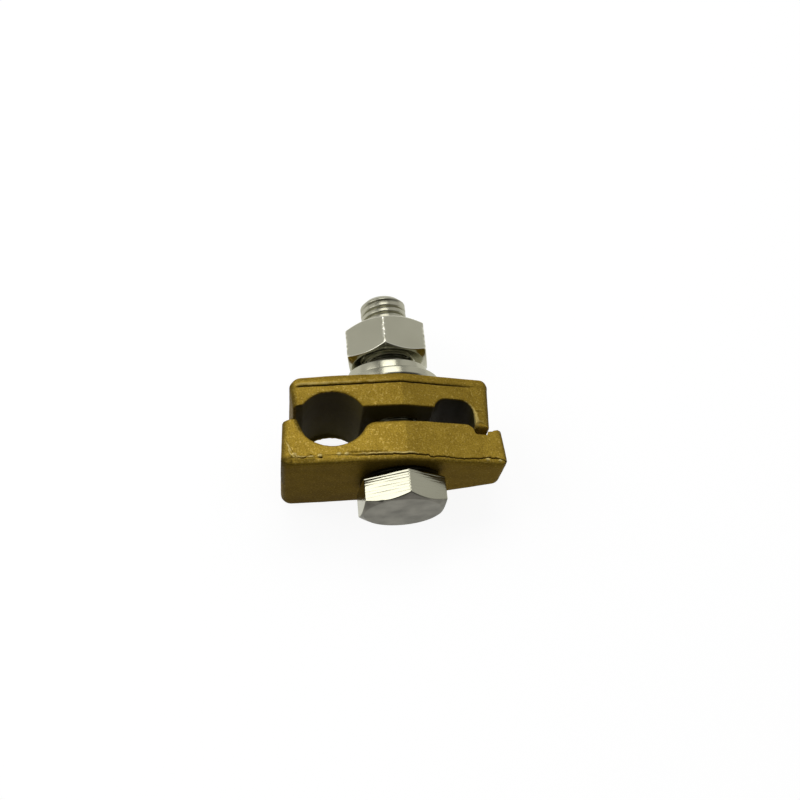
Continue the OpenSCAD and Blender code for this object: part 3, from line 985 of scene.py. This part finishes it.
def bright_steel(name, stained, roughness_low=0.12):
    """Polished steel with faint clouds and brush marks, stained and duller in places on the bolt, with painted
    highlight and painted shade.
    """
    s = Shader(name)
    cloud = s.noise(160, 3)
    colour = s.mix(s.ramp(cloud, 0.35, 0.65), STEEL_DARK, STEEL_LIGHT)
    streaks = s.noise(1, 3, s.stretched((120, 9000, 120)))
    roughness = s.ramp(streaks, 0.3, 0.7, roughness_low, roughness_low + 0.06)
    if stained:
        dull = s.attribute("dull")
        blotches = s.ramp(s.noise(260, 4), 0.32, 0.68)
        colour = s.mix(dull, colour, s.mix(blotches, STAIN_DARK, STAIN_LIGHT))
        roughness = s.math("ADD", roughness, s.math("MULTIPLY", dull, 0.2))
        roughness = s.math("ADD", roughness, s.math("MULTIPLY", s.attribute("matte"), 0.12))
    # Painted highlight along the nut's chamfer border and corners, then painted shade under and between parts
    colour = s.mix(s.attribute("painted_highlight"), colour, STEEL_HIGHLIGHT)
    colour = s.mix(s.attribute("painted_shade"), colour, STEEL_SHADE)
    s.feed(s.surface.inputs["Base Color"], colour)
    s.surface.inputs["Metallic"].default_value = 1.0
    s.surface.inputs["Specular Tint"].default_value = STEEL_SHEEN
    s.feed(s.surface.inputs["Roughness"], roughness)
    s.feed(s.surface.inputs["Normal"], s.bump(streaks, 0.004 * MM, 0.3 if stained else 0.1))
    return s.material


def floor_material():
    """A pale floor that shows white to the camera and in reflections, with the object's shadow on it."""
    s = Shader("floor")
    nodes = s.tree.nodes
    path = s.add("ShaderNodeLightPath")
    mirrored = s.math("MAXIMUM", path.outputs["Is Glossy Ray"], path.outputs["Is Transmission Ray"])
    seen = s.math("MAXIMUM", path.outputs["Is Camera Ray"], mirrored)
    matte = s.add("ShaderNodeBsdfDiffuse")
    matte.inputs["Color"].default_value = FLOOR_GREY
    glow = s.add("ShaderNodeEmission")
    glow.inputs["Color"].default_value = (1, 1, 1, 1)
    s.feed(glow.inputs["Strength"], s.math("MULTIPLY", seen, FLOOR_WHITE))
    both = s.add("ShaderNodeAddShader")
    s.feed(both.inputs[0], matte.outputs["BSDF"])
    s.feed(both.inputs[1], glow.outputs["Emission"])
    s.feed(nodes["Material Output"].inputs["Surface"], both.outputs["Shader"])
    nodes.remove(s.surface)
    return s.material


def build_floor():
    z = cad_bounds[0][2] / MM
    corners = [(sx * FLOOR_HALF, sy * FLOOR_HALF, z) for sx, sy in ((-1, -1), (1, -1), (1, 1), (-1, 1))]
    floor = make_mesh("floor", corners, [(0, 1, 2, 3)])
    floor.data.materials.append(floor_material())


def build_world():
    """Soft light all round, brighter from the nut's side and dim beside the overhead lamp."""
    world = bpy.data.worlds.new("studio")
    bpy.context.scene.world = world
    world.use_nodes = True
    tree = world.node_tree
    coords = tree.nodes.new("ShaderNodeTexCoord")
    split = tree.nodes.new("ShaderNodeSeparateXYZ")
    tree.links.new(coords.outputs["Generated"], split.inputs["Vector"])

    def graded(axis, levels):
        spread = tree.nodes.new("ShaderNodeMapRange")
        spread.inputs["From Min"].default_value = -1
        tree.links.new(split.outputs[axis], spread.inputs["Value"])
        ramp = tree.nodes.new("ShaderNodeValToRGB")
        tree.links.new(spread.outputs["Result"], ramp.inputs["Fac"])
        stops = ramp.color_ramp.elements
        stops[0].position = levels[0][0] / 2 + 0.5
        stops[1].position = levels[-1][0] / 2 + 0.5
        for part, _ in levels[1:-1]:
            stops.new(part / 2 + 0.5)
        for stop, (_, grey) in zip(stops, levels):
            stop.color = (grey, grey, grey, 1)
        return ramp.outputs["Color"]

    both = tree.nodes.new("ShaderNodeMix")
    both.data_type = "RGBA"
    both.blend_type = "MULTIPLY"
    both.inputs["Factor"].default_value = 1
    tree.links.new(graded("Y", WORLD_Y), both.inputs[6])
    tree.links.new(graded("X", WORLD_X), both.inputs[7])
    tree.links.new(both.outputs[2], tree.nodes["Background"].inputs["Color"])
    tree.nodes["Background"].inputs["Strength"].default_value = 1.0


def build_lamps():
    for name, direction, size, power in LAMPS:
        lamp = bpy.data.lights.new(name, "AREA")
        lamp.shape = "RECTANGLE"
        lamp.size, lamp.size_y = size
        lamp.energy = power
        obj = link(bpy.data.objects.new(name, lamp))
        towards = Vector(direction).normalized()
        obj.location = Vector((AXIS_X, 0, AXIS_Z)) * MM + towards * LAMP_DISTANCE
        obj.rotation_euler = towards.to_track_quat("Z", "Y").to_euler()


def build_camera():
    data = bpy.data.cameras.new("camera")
    data.lens = LENS
    data.sensor_width = SENSOR
    data.clip_start = 0.01
    camera = link(bpy.data.objects.new("camera", data))
    turn = Matrix((CAMERA_RIGHT, CAMERA_UP, CAMERA_BACK)).transposed().to_4x4()
    eye = Vector((AXIS_X, LOWER_OUT, AXIS_Z)) + Vector(CAMERA_OFFSET)
    camera.matrix_world = Matrix.Translation(eye * MM) @ turn
    bpy.context.scene.camera = camera


def place(piece, node, body, slot, material):
    piece.data.materials.append(material)
    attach(piece, body)
    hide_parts(node)


brass = forged_brass()
bolt_steel = bright_steel("head_steel", True)
nut_steel = bright_steel("polished_steel", False)
washer_steel = bright_steel("washer_steel", False, 0.2)
place(build_lower_jaw(), "lower_jaw", "lower_jaw", "forged_brass", brass)
place(build_upper_jaw(), "upper_jaw", "upper_jaw", "forged_brass", brass)
place(build_bolt(), "bolt", "bolt", "bright_steel", bolt_steel)
place(build_nut(), "nut", "nut", "bright_steel", nut_steel)
place(build_flat_washer(), "flat_washer", "washers", "bright_steel", washer_steel)
place(build_spring_washer(), "spring_washer", "washers", "bright_steel", washer_steel)
build_camera()
build_floor()
build_world()
build_lamps()
bpy.context.scene.view_settings.view_transform = "Standard"
